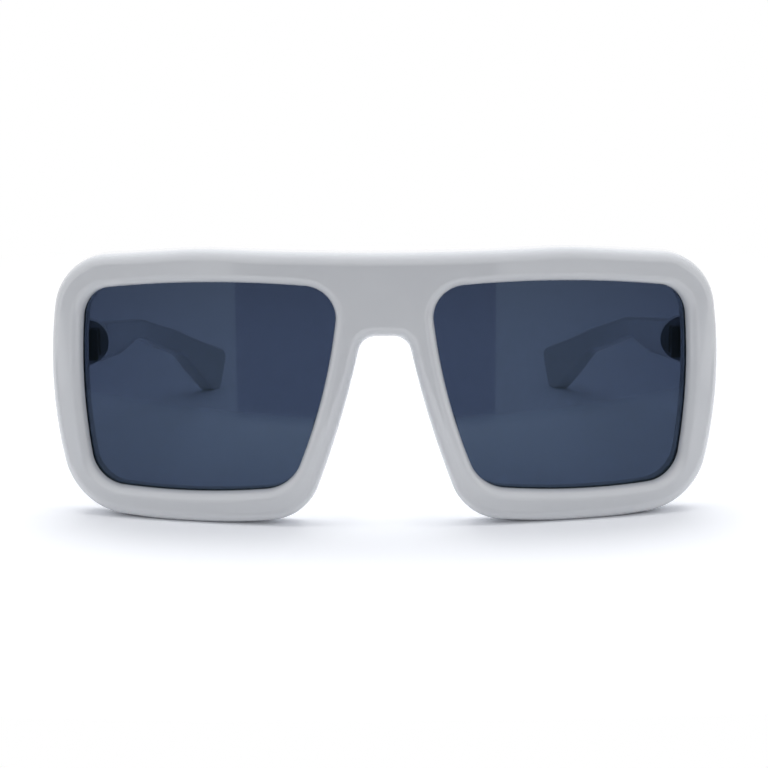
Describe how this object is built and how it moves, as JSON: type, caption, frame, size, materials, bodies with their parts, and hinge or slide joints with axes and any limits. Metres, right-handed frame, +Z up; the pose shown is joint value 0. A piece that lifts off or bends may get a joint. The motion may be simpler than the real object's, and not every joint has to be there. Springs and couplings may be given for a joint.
{
  "type": "oversized sunglasses",
  "caption": "Oversized square sunglasses with a chunky curved front, smoke lenses in grooves and side arms that fold on screwed metal hinges.",
  "frame": {"origin": "middle of the footprint on the surface that the rims and temple tips rest on", "axes": "+Z up, the front faces -Y, +X is the wearer's left"},
  "size_m": [0.15, 0.1575, 0.0615],
  "materials": {
    "white_plastic": "polished",
    "smoke_lens": "polished",
    "hinge_metal": "satin black",
    "screw_steel": "turned",
    "core_steel": "drawn"
  },
  "bodies": {
    "front": {"front_frame": "white_plastic", "lens_left": "smoke_lens", "lens_right": "smoke_lens", "nose_pad_left": "white_plastic", "nose_pad_right": "white_plastic", "hinge_front_leaf_left": "hinge_metal", "hinge_front_leaf_right": "hinge_metal", "hinge_pin_screw_left": "screw_steel", "hinge_pin_screw_right": "screw_steel", "front_leaf_screw_lower_left": "screw_steel", "front_leaf_screw_lower_right": "screw_steel", "front_leaf_screw_upper_left": "screw_steel", "front_leaf_screw_upper_right": "screw_steel"},
    "left_temple": {"temple_left": "white_plastic", "core_wire_left": "core_steel", "hinge_temple_leaf_left": "hinge_metal", "temple_leaf_screw_lower_left": "screw_steel", "temple_leaf_screw_upper_left": "screw_steel"},
    "right_temple": {"temple_right": "white_plastic", "core_wire_right": "core_steel", "hinge_temple_leaf_right": "hinge_metal", "temple_leaf_screw_lower_right": "screw_steel", "temple_leaf_screw_upper_right": "screw_steel"}
  },
  "joints": [
    {"name": "left_temple_fold", "type": "hinge", "parent": "front", "child": "left_temple", "pos_m": [0.0668, -0.05367, 0.0373], "axis": [0, 0, 1], "range_deg": [0, 83]},
    {"name": "right_temple_fold", "type": "hinge", "parent": "front", "child": "right_temple", "pos_m": [-0.0668, -0.05367, 0.0373], "axis": [0, 0, -1], "range_deg": [0, 73]}
  ]
}
